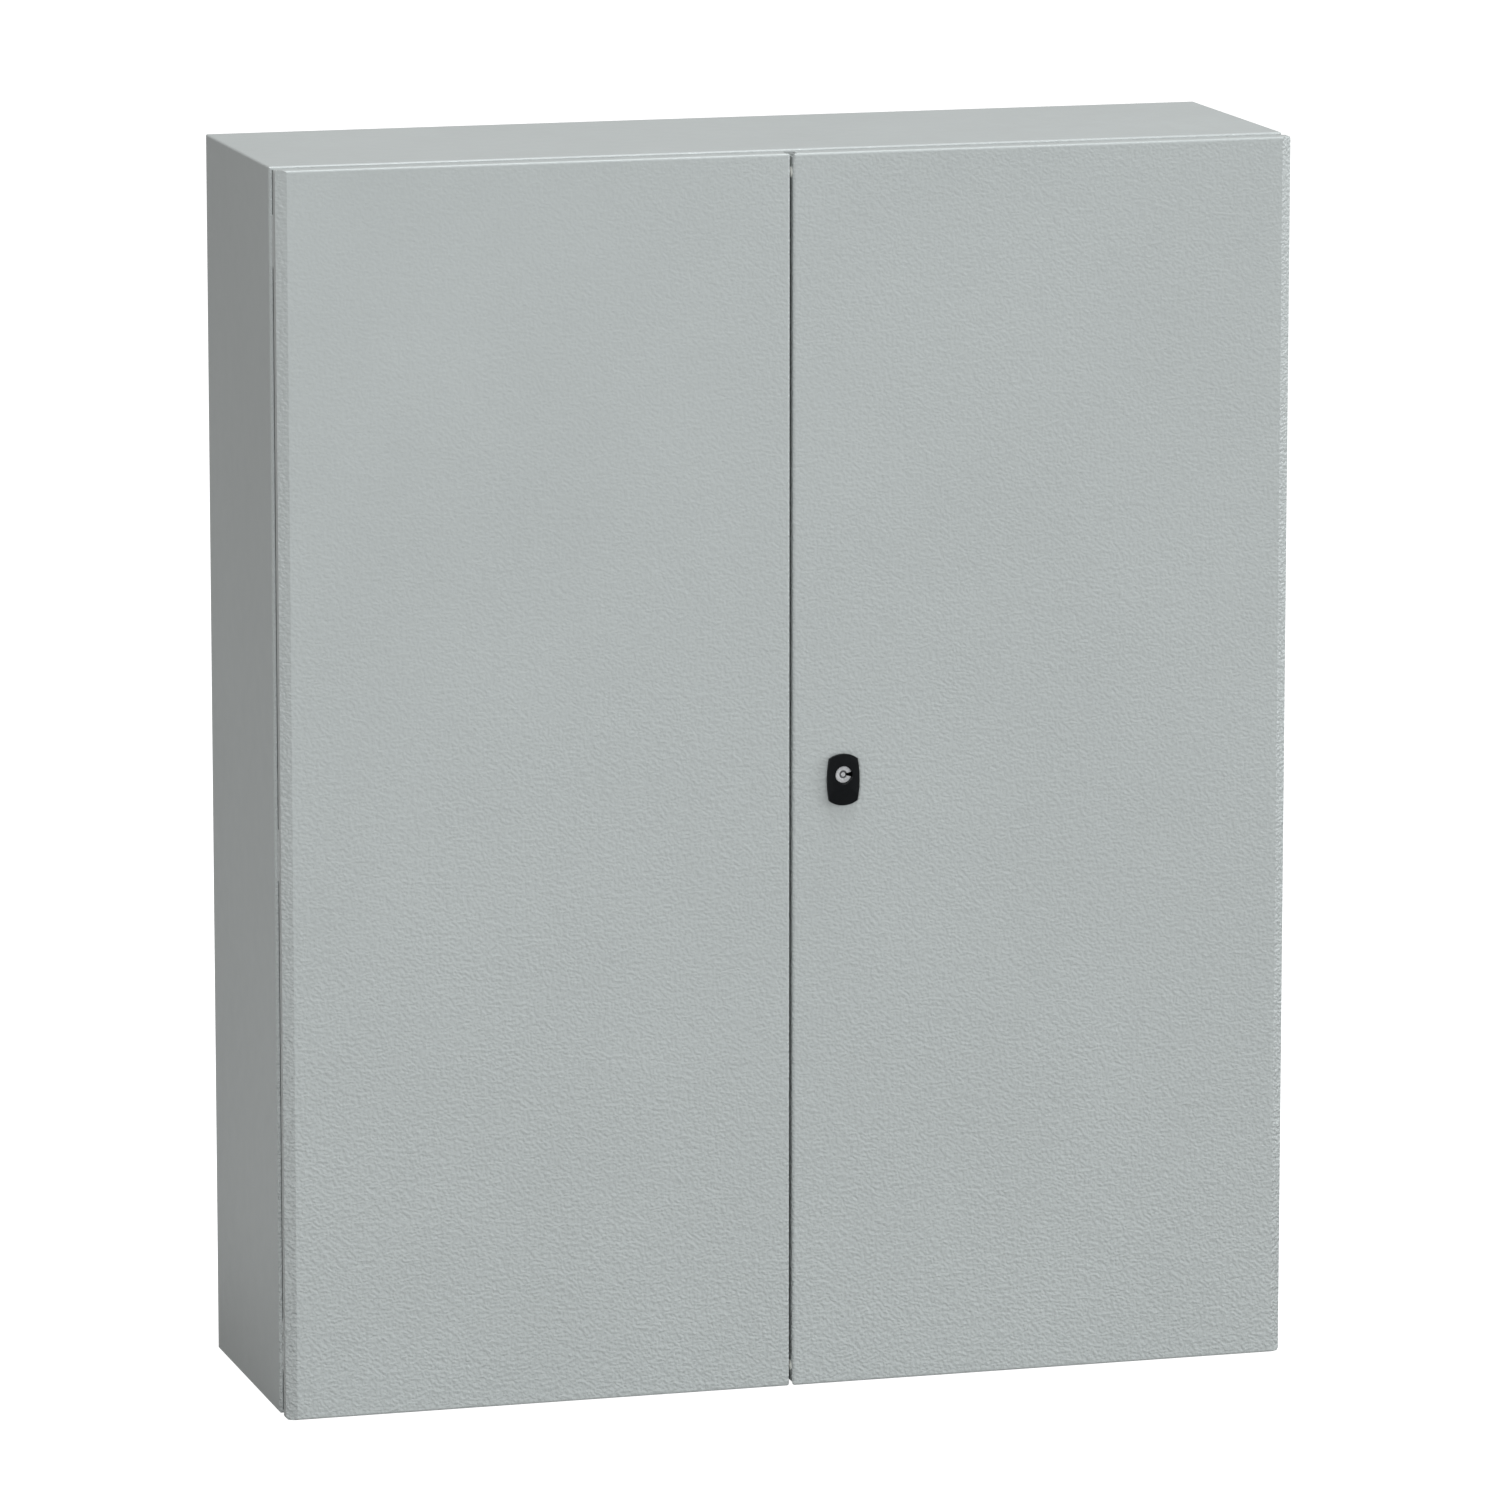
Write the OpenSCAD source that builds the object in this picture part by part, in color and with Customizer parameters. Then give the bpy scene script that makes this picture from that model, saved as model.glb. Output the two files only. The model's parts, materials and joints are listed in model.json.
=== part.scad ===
// Wall-standing industrial switchboard cabinet with two hinged doors.
// Units are millimetres. X is the width, -Y is the front, +Z is up.
// The origin is the centre of the base of the whole assembly.
// Inside the modules a depth "f" counts forward from the rear face.

/* [Cabinet] */
// Overall width
cab_w = 1000; // [800:50:1200]
// Overall height
cab_h = 1200; // [1000:50:1400]
// Depth from the rear face to the front face of the doors
cab_d = 300; // [260:10:400]
// Thickness of the folded sheet steel
sheet_t = 1.5; // [1.2:0.1:1.8]
// Outer radius of the long bends of the body
body_r = 3; // [2.5:0.5:3]
// Outer radius of the body's top and bottom corner bends
corner_r = 2; // [2:0.5:2.5]

/* [Body rim] */
// Distance from the body's front lip to the back edge of the door flange
seam = 16; // [16:0.5:18]
// Width of the rain gutter between the side wall and the sealing rim
gutter_w = 20; // [20:1:22]
// Height of the sealing rim above the front lip
rim_h = 20; // [19:0.5:20]
// Width of the return flange that carries the rear panel
rear_flange = 12; // [10:1:14]

/* [Doors] */
// Depth of the door pan from its front face to its back edge
door_pan = 15; // [14:0.5:16]
// Gap between the two doors
door_gap = 3; // [3:0.5:5]
// Width of the flat bevel along the hinge edge of each door
bevel_w = 10; // [9:0.5:11]
// Depth of the flat bevel along the hinge edge of each door
bevel_d = 6; // [5:0.5:6.5]
// Outer bend radius of the other door edges
door_r = 2.5; // [2.5:0.5:3]
// Radius of the round plastic buffer in the centre gap
buffer_r = 5.2; // [4:0.1:5.4]
// Height of the buffers above the base and below the top
buffer_inset = 19; // [17:1:24]

/* [Hinges] */
// Height of the lower hinge, and distance of the upper hinge from the top
hinge_inset = 69; // [66:1:90]
// Height of the middle hinge
hinge_mid_z = 546; // [500:1:580]
// Length of the two knuckles together
hinge_len = 49; // [44:1:56]
// Outer radius of the knuckles
knuckle_r = 5; // [4.8:0.1:5]
// Radius of the hinge pin
pin_r = 3; // [2.5:0.1:3]
// Radial running clearance of the hinge pin
pin_clear = 0.06; // [0.05:0.01:0.08]

/* [Lock] */
// Distance of the lock axis from the centre of the cabinet
lock_x = 51; // [50:1:56]
// Height of the lock axis
lock_z = 600; // [590:1:620]
// Width of the escutcheon
esc_w = 32; // [30:0.5:34]
// Height of the escutcheon
esc_h = 50; // [49:0.5:54]
// How far the escutcheon's centre lies below the lock axis
esc_drop = 5; // [3:0.5:5.5]
// How far the escutcheon stands out of the door
esc_t = 6; // [5:0.5:7]
// Radius of the turning insert's face
insert_r = 8.1; // [7:0.1:8.2]
// Radius on which the cam's drive pins sit
cam_r = 14; // [14:0.1:14.5]

/* [Mounting] */
// Distance of the wall fixing holes from the cabinet's outer edges
wall_inset = 25; // [25:1:40]
// Radius of the wall fixing holes
wall_hole_r = 4.25; // [4:0.25:5]
// Gap between the mounting plate and the rear panel
plate_gap = 19; // [15:1:30]
// Thickness of the mounting plate
plate_t = 2.5; // [2:0.5:3]

/* [Hidden] */
$fn = 64;
e = 0.01;
t = sheet_t;
hw = cab_w / 2;
y_back = (cab_d + esc_t) / 2;             // Y of the rear face
body_d = cab_d - door_pan - seam;         // depth of the body's front lip
f_tip = cab_d - door_pan;                 // depth of the door flange's back edge
f_skin = cab_d - t;                       // inner face of the door skin
f_rim = body_d + rim_h;                   // front edge of the sealing rim
rim_x = hw - gutter_w;                    // outer face of the rim, sides
drip_w = 1.6;                             // drip groove: width
drip_x = hw - 3.9;                        // drip groove: middle of its width
groove_w = 13;                            // drain groove of the centre post
groove_f = f_tip - 1.5;                   // depth of the groove's floor
door_in = door_gap / 2;                   // inner edge of each door
door_top = cab_h - 0.5;                   // top edge of each door
ax_x = hw - 5.5;                          // hinge axis, distance from centre
ax_f = body_d + 9;                        // hinge axis, depth
hinge_zs = [hinge_inset, hinge_mid_z, cab_h - hinge_inset];
rod_w = 14;                               // locking rods: width
rod_f0 = body_d - 6;                      // locking rods: back face depth
rod_f1 = body_d - 3;                      // locking rods: front face depth
pin_off = cam_r * sin(45);                // drive pin offset with the lock open
travel = 2 * pin_off;                     // stroke of the locking rods
rod_gap = gutter_w + 6;                   // rod end to cabinet edge, open
up_x = lock_x - 12;                       // axis of the upper rod
lo_x = lock_x + 12;                       // axis of the lower rod
bolt_x = -39;                             // axis of the passive door's bolts
bolt_len = 134;
plate_f = t + t + plate_gap;              // back face of the mounting plate
plate_w = cab_w - 90;
plate_z0 = 40;
stud_xs = [-(plate_w / 2 - 30), plate_w / 2 - 30];
stud_zs = [70, cab_h / 2, cab_h - 70];
gland_w = cab_w * 0.36;
gland_d = 120;
gland_xs = [-cab_w * 0.22, cab_w * 0.22];
gland_f = 130;
paint = [0.69, 0.71, 0.71];
zinc = [0.78, 0.79, 0.80];

// ---- helpers: everything is placed by X, depth f and Z ----
function Y(f) = y_back - f;

module bx(x0, x1, f0, f1, z0, z1)
    translate([x0, Y(f1), z0]) cube([x1 - x0, f1 - f0, z1 - z0]);

// cylinder along the depth
module cyf(x, z, f0, f1, r)
    translate([x, Y(f0), z]) rotate([90, 0, 0]) cylinder(r = r, h = f1 - f0);

// cylinder along X
module cyx(f, z, x0, x1, r)
    translate([x0, Y(f), z]) rotate([0, 90, 0]) cylinder(r = r, h = x1 - x0);

// cylinder along Z
module cyz(x, f, z0, z1, r)
    translate([x, Y(f), z0]) cylinder(r = r, h = z1 - z0);

// cone along the depth
module cof(x, z, f0, f1, r0, r1)
    translate([x, Y(f0), z]) rotate([90, 0, 0]) cylinder(r1 = r0, r2 = r1, h = f1 - f0);

// hexagonal prism along the depth, af across the flats
module hexf(x, z, f0, f1, af)
    translate([x, Y(f0), z]) rotate([90, 0, 0]) rotate([0, 0, 30])
        cylinder(d = af / cos(30), h = f1 - f0, $fn = 6);

// nut along the depth with its bore
module nutf(x, z, f0, f1, af, bore)
    difference() {
        hexf(x, z, f0, f1, af);
        cyf(x, z, f0 - 1, f1 + 1, bore);
    }

// mirror a left-hand piece to the right side
module right_side() mirror([1, 0, 0]) children();

// ---- body ----

// block with rounded edges in all three directions, shrunk by s on every side
module body_block(s) {
    rb = body_r - s;
    rc = corner_r - s;
    x = hw - s;
    z0 = s;
    z1 = cab_h - s;
    f0 = s;
    f1 = body_d - s;
    intersection() {
        union() {
            bx(-x + rb, x - rb, f0, f1, z0, z1);
            bx(-x, x, f0 + rb, f1 - rb, z0, z1);
            for (sx = [-1, 1], f = [f0 + rb, f1 - rb])
                cyz(sx * (x - rb), f, z0, z1, rb);
        }
        union() {
            bx(-x, x, f0, f1, z0 + rb, z1 - rb);
            bx(-x, x, f0 + rb, f1 - rb, z0, z1);
            for (z = [z0 + rb, z1 - rb], f = [f0 + rb, f1 - rb])
                cyx(f, z, -x, x, rb);
        }
        union() {
            bx(-x + rc, x - rc, f0, f1, z0, z1);
            bx(-x, x, f0, f1, z0 + rc, z1 - rc);
            for (sx = [-1, 1], z = [z0 + rc, z1 - rc])
                cyf(sx * (x - rc), z, f0, f1, rc);
        }
    }
}

module gland_screw_at()
    for (gx = gland_xs, ix = [-1, 0, 1], ifd = [-1, 1])
        translate([gx + ix * (gland_w / 2 + 4) * 0.96, -(gland_f + ifd * (gland_d / 2 + 10)), 0])
            children();

module body_shell() color(paint) {
    difference() {
        union() {
            difference() {
                body_block(0);
                body_block(t);
                bx(-rim_x + t, rim_x - t, body_d - 2 * t, body_d + 1, gutter_w + t, cab_h - gutter_w - t);
                bx(-hw + rear_flange, hw - rear_flange, -1, 2 * t, rear_flange, cab_h - rear_flange);
            }
            // walls of the drip grooves along the hinge sides
            for (s = [-1, 1])
                bx(s > 0 ? drip_x - t - drip_w / 2 : -hw + t - e, s > 0 ? hw - t + e : -drip_x + t + drip_w / 2,
                    body_d - 7.5, body_d - t + e, t - e, cab_h - t + e);
            // sealing rim
            difference() {
                bx(-rim_x, rim_x, body_d - t, f_rim, gutter_w, cab_h - gutter_w);
                bx(-rim_x + t, rim_x - t, body_d - t - 1, f_rim + 1, gutter_w + t, cab_h - gutter_w - t);
                // notches for the centre post's drain groove
                for (z = [gutter_w, cab_h - gutter_w])
                    bx(-groove_w / 2 - t - 0.2, groove_w / 2 + t + 0.2,
                        groove_f - t - 0.2, f_rim + 1, z - 2 * t, z + 2 * t);
            }
        }
        // gland openings and their screw holes in the floor
        for (gx = gland_xs)
            bx(gx - gland_w / 2, gx + gland_w / 2, gland_f - gland_d / 2, gland_f + gland_d / 2, -1, t + 1);
        translate([0, y_back, 0]) gland_screw_at() translate([0, 0, -1]) cylinder(r = 3, h = t + 2);
        // drip grooves behind the front edges of the side walls
        for (s = [-1, 1])
            bx(s * drip_x - drip_w / 2, s * drip_x + drip_w / 2, body_d - 6, body_d + 1, 3.5, cab_h - 3.5);
        // hinge screw holes in the front lip
        for (s = [-1, 1], z = hinge_zs, d = [-1, 1])
            cyf(s * (hw - 12), z + d * 33, body_d - 2 * t, body_d + 1, 2.6);
        // centre post screw holes in the front lip
        for (x = [-10, 10], z = [11, cab_h - 11])
            cyf(x, z, body_d - 2 * t, body_d + 1, 3.1);
    }
}

module rear_panel() color(paint)
    difference() {
        bx(-hw + body_r + 0.1, hw - body_r - 0.1, t, 2 * t, body_r + 0.1, cab_h - body_r - 0.1);
        for (sx = [-1, 1], z = [wall_inset, cab_h - wall_inset])
            cyf(sx * (hw - wall_inset), z, 0, 3 * t, wall_hole_r);
    }

post_w = 20;
module centre_post() color(paint)
    difference() {
        z0 = gutter_w + t + 0.3;
        z1 = cab_h - z0;
        union() {
            // two sealing faces with a drain groove between them
            difference() {
                bx(-post_w, post_w, f_rim - t, f_rim, z0, z1);
                bx(-groove_w / 2, groove_w / 2, f_rim - 2 * t, f_rim + 1, z0 - 1, z1 + 1);
            }
            // the groove runs on through the rim, almost to the base and the top
            difference() {
                bx(-groove_w / 2 - t, groove_w / 2 + t, groove_f - t, f_rim, 3, cab_h - 3);
                bx(-groove_w / 2, groove_w / 2, groove_f, f_rim + 1, 2, cab_h - 2);
            }
            for (s = [-1, 1])
                bx(s > 0 ? post_w - t : -post_w, s > 0 ? post_w : -post_w + t,
                    body_d - 4.5, f_rim, z0, z1);
            // fixing tabs behind the lip
            bx(-post_w, post_w, body_d - 4.5, body_d - t, 4, gutter_w + 30);
            bx(-post_w, post_w, body_d - 4.5, body_d - t, cab_h - gutter_w - 30, cab_h - 4);
        }
        for (x = [-10, 10], z = [11, cab_h - 11])
            cyf(x, z, body_d - 6, body_d, 2.5);
    }

// foam blocks that close the space behind the ends of the drain groove
module post_end_seals() color([0.12, 0.12, 0.12])
    for (z = [4.4, cab_h - gutter_w + 0.5]) union() {
        bx(-5, 5, body_d, groove_f - t, z, z + gutter_w - 4.9);
        bx(-8, 8, body_d + 4.2, groove_f - t, z, z + gutter_w - 4.9);
    }

module post_screws() color(zinc)
    for (x = [-10, 10], z = [11, cab_h - 11]) difference() {
        union() {
            cyf(x, z, body_d - 9, body_d + 0.5, 2.45);
            cyf(x, z, body_d, body_d + 3.5, 4.8);
        }
        hexf(x, z, body_d + 1.2, body_d + 5, 4);
    }

module gland_plates() color(paint)
    difference() {
        for (gx = gland_xs)
            bx(gx - gland_w / 2 - 16, gx + gland_w / 2 + 16,
                gland_f - gland_d / 2 - 18, gland_f + gland_d / 2 + 18, t + 3, t + 5);
        translate([0, y_back, 0]) gland_screw_at() cylinder(r = 3.2, h = 12);
    }

module gland_gaskets() color([0.12, 0.12, 0.12])
    difference() {
        for (gx = gland_xs) difference() {
            bx(gx - gland_w / 2 - 14, gx + gland_w / 2 + 14,
                gland_f - gland_d / 2 - 16, gland_f + gland_d / 2 + 16, t, t + 3);
            bx(gx - gland_w / 2 + 1, gx + gland_w / 2 - 1,
                gland_f - gland_d / 2 + 1, gland_f + gland_d / 2 - 1, t - 1, t + 4);
        }
        translate([0, y_back, 0]) gland_screw_at() cylinder(r = 3.4, h = 12);
    }

module gland_screws() color(zinc)
    translate([0, y_back, 0]) gland_screw_at() difference() {
        union() {
            translate([0, 0, 0.2]) cylinder(r = 2.9, h = t + 5);
            translate([0, 0, t + 5]) cylinder(r = 6, h = 1.4);
            translate([0, 0, t + 6.4]) cylinder(d = 10 / cos(30), h = 4, $fn = 6);
        }
        translate([0, 0, t + 9]) cylinder(r = 2.6, h = 3);
    }

module mounting_plate() color(zinc)
    difference() {
        union() {
            bx(-plate_w / 2, plate_w / 2, plate_f, plate_f + plate_t, plate_z0, cab_h - plate_z0);
            for (s = [-1, 1])
                bx(s > 0 ? plate_w / 2 - plate_t : -plate_w / 2,
                    s > 0 ? plate_w / 2 : -plate_w / 2 + plate_t,
                    plate_f - 10, plate_f + plate_t, plate_z0, cab_h - plate_z0);
        }
        for (x = stud_xs, z = stud_zs) cyf(x, z, plate_f - 1, plate_f + plate_t + 1, 4.5);
        // lifting holes near the top corners
        for (s = [-1, 1]) cyf(s * (plate_w / 2 - 90), cab_h - plate_z0 - 25, plate_f - 1, plate_f + plate_t + 1, 9);
    }

module plate_studs() color(zinc)
    for (x = stud_xs, z = stud_zs) union() {
        cyf(x, z, 2 * t, plate_f + plate_t + 15, 4);
        cyf(x, z, 2 * t, 2 * t + 1.2, 6);
    }

module plate_spacers() color(zinc)
    for (x = stud_xs, z = stud_zs) difference() {
        cyf(x, z, 2 * t + 1.2, plate_f, 8);
        cyf(x, z, 2 * t, plate_f + 1, 4.3);
    }

module plate_nuts() color(zinc)
    for (x = stud_xs, z = stud_zs) difference() {
        union() {
            cyf(x, z, plate_f + plate_t, plate_f + plate_t + 1.6, 8);
            hexf(x, z, plate_f + plate_t + 1.6, plate_f + plate_t + 8, 13);
        }
        cyf(x, z, plate_f + plate_t - 1, plate_f + plate_t + 9, 4.1);
    }

// earth stud on the left wall, near the floor
earth_f = 200;
earth_z = 90;
module body_earth_stud() color([0.80, 0.62, 0.30])
    union() {
        cyx(earth_f, earth_z, -hw + t, -hw + t + 26, 4);
        cyx(earth_f, earth_z, -hw + t, -hw + t + 2, 7);
    }

module body_earth_nuts() color([0.80, 0.62, 0.30])
    for (o = [3, 13]) difference() {
        translate([-hw + t + o, Y(earth_f), earth_z]) rotate([0, 90, 0]) union() {
            cylinder(r = 8.5, h = 1.6);
            cylinder(d = 13 / cos(30), h = 8, $fn = 6);
        }
        cyx(earth_f, earth_z, -hw + t + o - 1, -hw + t + o + 10, 4.1);
    }

// ---- hinges, drawn for the left side ----
module hinge_body_leaf(z)
    difference() {
        union() {
            bx(-hw + 4.5, -hw + 18, body_d, body_d + 2.5, z - 39, z + 39);
            bx(-ax_x - 3, -ax_x + 4, body_d + 2, ax_f, z - hinge_len / 2, z - 0.15);
            cyz(-ax_x, ax_f, z - hinge_len / 2, z - 0.15, knuckle_r);
        }
        cyz(-ax_x, ax_f, z - hinge_len, z + hinge_len, pin_r + pin_clear);
        for (d = [-1, 1]) cyf(-hw + 12, z + d * 33, body_d - 1, body_d + 4, 2.6);
    }

module hinge_door_leaf(z)
    difference() {
        union() {
            cyz(-ax_x, ax_f, z + 0.15, z + hinge_len / 2, knuckle_r);
            bx(-hw + t, -ax_x + 1, ax_f, f_tip + 1, z + 0.15, z + hinge_len / 2);
            bx(-hw + t, -hw + t + 3, f_tip - 1, f_tip + door_pan - bevel_d - 1.4, z - 36, z + 36);
        }
        cyz(-ax_x, ax_f, z - hinge_len, z + hinge_len, pin_r + pin_clear);
    }

module hinge_pin(z)
    union() {
        cyz(-ax_x, ax_f, z - hinge_len / 2 - 0.5, z + hinge_len / 2 - 1, pin_r);
        cyz(-ax_x, ax_f, z - hinge_len / 2 - 2, z - hinge_len / 2, 4);
    }

module left_hinge_body_leaves() color(paint) for (z = hinge_zs) hinge_body_leaf(z);
module right_hinge_body_leaves() color(paint) right_side() for (z = hinge_zs) hinge_body_leaf(z);
module left_hinge_door_leaves() color(paint) for (z = hinge_zs) hinge_door_leaf(z);
module right_hinge_door_leaves() color(paint) right_side() for (z = hinge_zs) hinge_door_leaf(z);
module left_hinge_pins() color(zinc) for (z = hinge_zs) hinge_pin(z);
module right_hinge_pins() color(zinc) right_side() for (z = hinge_zs) hinge_pin(z);

module hinge_screws() color(zinc)
    for (s = [-1, 1], z = hinge_zs, d = [-1, 1]) difference() {
        union() {
            cyf(s * (hw - 12), z + d * 33, body_d - 8, body_d + 3, 2.5);
            cyf(s * (hw - 12), z + d * 33, body_d + 2.5, body_d + 5.5, 4.2);
        }
        hexf(s * (hw - 12), z + d * 33, body_d + 3.6, body_d + 6, 3);
    }

module hinge_nuts() color(zinc)
    for (s = [-1, 1], z = hinge_zs, d = [-1, 1])
        nutf(s * (hw - 12), z + d * 33, body_d - t - 4, body_d - t, 8, 2.6);

// ---- doors, drawn for the left side ----

// solid outline of a door, shrunk by s, open towards the rear at depth fr
module door_block(s, fr) {
    r = door_r - s;
    k = sqrt(bevel_w * bevel_w + bevel_d * bevel_d);
    fx = cab_d - s;
    xb = -hw + bevel_w + s * (k - bevel_w) / bevel_d;  // where the bevel meets the skin
    fb = cab_d - bevel_d - s * (k - bevel_d) / bevel_w; // where the bevel meets the flange
    intersection() {
        union() {
            linear_extrude(door_top)
                polygon([[-hw + s, Y(fr)], [-hw + s, Y(fb)], [xb, Y(fx)],
                    [-door_in - s - r, Y(fx)], [-door_in - s - r, Y(fr)]]);
            bx(-door_in - s - r - 1, -door_in - s, fr, fx - r, 0, door_top);
            cyz(-door_in - s - r, fx - r, 0, door_top, r);
        }
        union() {
            bx(-hw, 0, fr, cab_d - s, s + r, door_top - s - r);
            bx(-hw, 0, fr, cab_d - s - r, s, door_top - s);
            for (z = [s + r, door_top - s - r]) cyx(cab_d - s - r, z, -hw, 0, r);
        }
    }
}

// rounded corners seen from the front
module door_face_outline()
    union() {
        rr = 3.2;
        bx(-hw, -door_in, 0, cab_d + 1, rr, door_top - rr);
        bx(-hw + rr, -door_in - rr, 0, cab_d + 1, 0, door_top);
        for (x = [-hw + rr, -door_in - rr], z = [rr, door_top - rr]) cyf(x, z, 0, cab_d + 1, rr);
    }

module door_panel() {
    difference() {
        intersection() {
            door_block(0, f_tip);
            door_face_outline();
        }
        door_block(t, f_tip - 5);
        // relief cuts where the flanges meet at the centre corners
        for (z = [-1, door_top - 3.6])
            bx(-door_in - 3.8, -door_in + 1, f_tip - 1, f_skin, z, z + 4.6);
    }
}

gask = 14;
module door_gasket() {
    x0 = -rim_x + t / 2 - gask / 2;
    x1 = -door_in - 5.5;
    z0 = gutter_w + t / 2 - gask / 2;
    z1 = cab_h - z0;
    difference() {
        union() {
            bx(x0 + 6, x1 - 6, f_rim + 0.2, f_skin, z0, z1);
            bx(x0, x1, f_rim + 0.2, f_skin, z0 + 6, z1 - 6);
            for (x = [x0 + 6, x1 - 6], z = [z0 + 6, z1 - 6]) cyf(x, z, f_rim + 0.2, f_skin, 6);
        }
        bx(x0 + gask, x1 - 12, f_rim - 1, f_skin + 1, z0 + gask, z1 - gask);
    }
}

// perforated stiffening rail, hat section, centred on x
module door_rail(x) {
    d = 20;
    difference() {
        union() {
            bx(x - 12.5, x + 12.5, f_skin - d, f_skin - d + t, 60, cab_h - 60);
            for (s = [-1, 1]) {
                bx(s > 0 ? x + 12.5 - t : x - 12.5, s > 0 ? x + 12.5 : x - 12.5 + t,
                    f_skin - d, f_skin, 60, cab_h - 60);
                bx(s > 0 ? x + 12.5 - t : x - 22.5, s > 0 ? x + 22.5 : x - 12.5 + t,
                    f_skin - t, f_skin, 60, cab_h - 60);
            }
        }
        for (i = [0:floor((cab_h - 160) / 50)])
            cyf(x, 80 + i * 50, f_skin - d - 1, f_skin - d + t + 1, 4);
    }
}

module door_rails() for (x = [-hw + 60, -122]) door_rail(x);

module door_earth_stud()
    union() {
        cyf(-200, 80, f_skin - 18, f_skin, 3);
        cyf(-200, 80, f_skin - 1.5, f_skin, 6);
        hexf(-200, 80, f_skin - 8, f_skin - 3, 10);
    }

// guide block standing on the door skin, with a slot for a flat bar
module guide(x, z) {
    difference() {
        union() {
            bx(x - 11.5, x + 11.5, rod_f0 - 4, f_skin, z - 6, z + 6);
            bx(x - 11.5, x + 11.5, f_skin - 3, f_skin, z - 14, z + 14);
        }
        bx(x - rod_w / 2 - 0.4, x + rod_w / 2 + 0.4, rod_f0 - 0.4, rod_f1 + 0.4, z - 20, z + 20);
        bx(x - rod_w / 2 + 1, x + rod_w / 2 - 1, rod_f1 + 4, f_skin - 5, z - 20, z + 20);
    }
}

module left_door_panel() color(paint) door_panel();
module left_door_gasket() color([0.16, 0.16, 0.16]) door_gasket();
module left_door_rails() color(zinc) door_rails();
module left_door_earth_stud() color(zinc) door_earth_stud();
module left_bolt_guides() color([0.10, 0.10, 0.11])
    for (z = [50, 128, cab_h - 128, cab_h - 50]) guide(bolt_x, z);

bolt_mid = rod_gap + 63;                  // knob height of the lower bolt
module flat_bar(x, z0, z1)
    bx(x - rod_w / 2, x + rod_w / 2, rod_f0, rod_f1, z0, z1);

module left_lower_bolt() color(zinc)
    difference() {
        flat_bar(bolt_x, rod_gap, rod_gap + bolt_len);
        cyf(bolt_x, bolt_mid, rod_f0 - 1, rod_f1 + 1, 2.5);
    }

module left_upper_bolt() color(zinc)
    difference() {
        flat_bar(bolt_x, cab_h - rod_gap - bolt_len, cab_h - rod_gap);
        cyf(bolt_x, cab_h - bolt_mid, rod_f0 - 1, rod_f1 + 1, 2.5);
    }

module bolt_knob(z)
    union() {
        cyf(bolt_x, z, rod_f0 - 2, rod_f1 + 0.5, 2.45);
        cyf(bolt_x, z, rod_f0 - 5, rod_f0, 5);
        cof(bolt_x, z, rod_f0 - 11, rod_f0 - 5, 6.2, 5);
    }

module left_lower_knob() color([0.10, 0.10, 0.11]) bolt_knob(bolt_mid);
module left_upper_knob() color([0.10, 0.10, 0.11]) bolt_knob(cab_h - bolt_mid);

buffer_f = cab_d - door_r - buffer_r - 0.8;
esc_z = lock_z - esc_drop;
ins_f = cab_d + 2.2;                      // depth of the turning insert's face
module right_door_panel() color(paint)
    difference() {
        right_side() door_panel();
        cyf(lock_x, lock_z, f_skin - 1, cab_d + 1, 11.1);
        for (z = [buffer_inset, cab_h - buffer_inset])
            cyx(buffer_f, z, door_in - 1, door_in + t + 1, 2.6);
    }

module right_door_gasket() color([0.16, 0.16, 0.16]) right_side() door_gasket();
module right_door_rails() color(zinc) right_side() door_rails();
module right_door_earth_stud() color(zinc) right_side() door_earth_stud();

module gap_buffers() color([0.86, 0.86, 0.83]) {
    $fn = 96;
    dome = buffer_r / 2.6;                    // height of the rounded end
    dome_r = (buffer_r * buffer_r + dome * dome) / (2 * dome);
    tip = door_in - 2.6;
    for (z = [buffer_inset, cab_h - buffer_inset]) union() {
        intersection() {
            translate([tip + dome_r, Y(buffer_f), z]) sphere(r = dome_r);
            cyx(buffer_f, z, tip - 1, door_in, buffer_r);
        }
        cyx(buffer_f, z, door_in - 0.3, door_in + 2.8, 2.5);
    }
}

// ---- lock ----
module lock_escutcheon() color([0.06, 0.06, 0.065]) {
    $fn = 300;
    difference() {
        intersection() {
            cyf(lock_x - 105 + esc_w / 2, esc_z, cab_d, cab_d + esc_t, 105);
            cyf(lock_x + 105 - esc_w / 2, esc_z, cab_d, cab_d + esc_t, 105);
            union() {
                for (s = [-1, 1])
                    cyf(lock_x, esc_z + s * (esc_h / 2 - 24), cab_d, cab_d + esc_t, 24);
                bx(lock_x - 20, lock_x + 20, cab_d, cab_d + esc_t, esc_z - 8, esc_z + 8);
            }
            cyz(lock_x, cab_d + esc_t - 55, esc_z - 40, esc_z + 40, 55);
            translate([lock_x, Y(cab_d + esc_t - 120), esc_z]) sphere(r = 120);
            // eased corners
            for (sx = [-1, 1], sz = [-1, 1])
                cyf(lock_x - sx * 5.1, esc_z - sz * 6.9, cab_d, cab_d + esc_t, 32);
        }
        cyf(lock_x, lock_z, cab_d - 1, cab_d + esc_t + 1, insert_r + 0.4);
        cyf(lock_x, lock_z, cab_d - 1, cab_d + 0.4, 11.2);
        cof(lock_x, lock_z, cab_d + esc_t - 0.8, cab_d + esc_t + 0.4, insert_r + 0.3, insert_r + 1.5);
    }
}

module lock_housing() color([0.62, 0.63, 0.65])
    difference() {
        cyf(lock_x, lock_z, body_d + 2, cab_d + 0.3, 10.8);
        cyf(lock_x, lock_z, body_d, cab_d + 2, 5.06);
        // keyway for the bit
        bx(lock_x + 3, lock_x + 8.6, cab_d - 15, cab_d + 1, lock_z - 2.7, lock_z + 2.7);
    }

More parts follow.
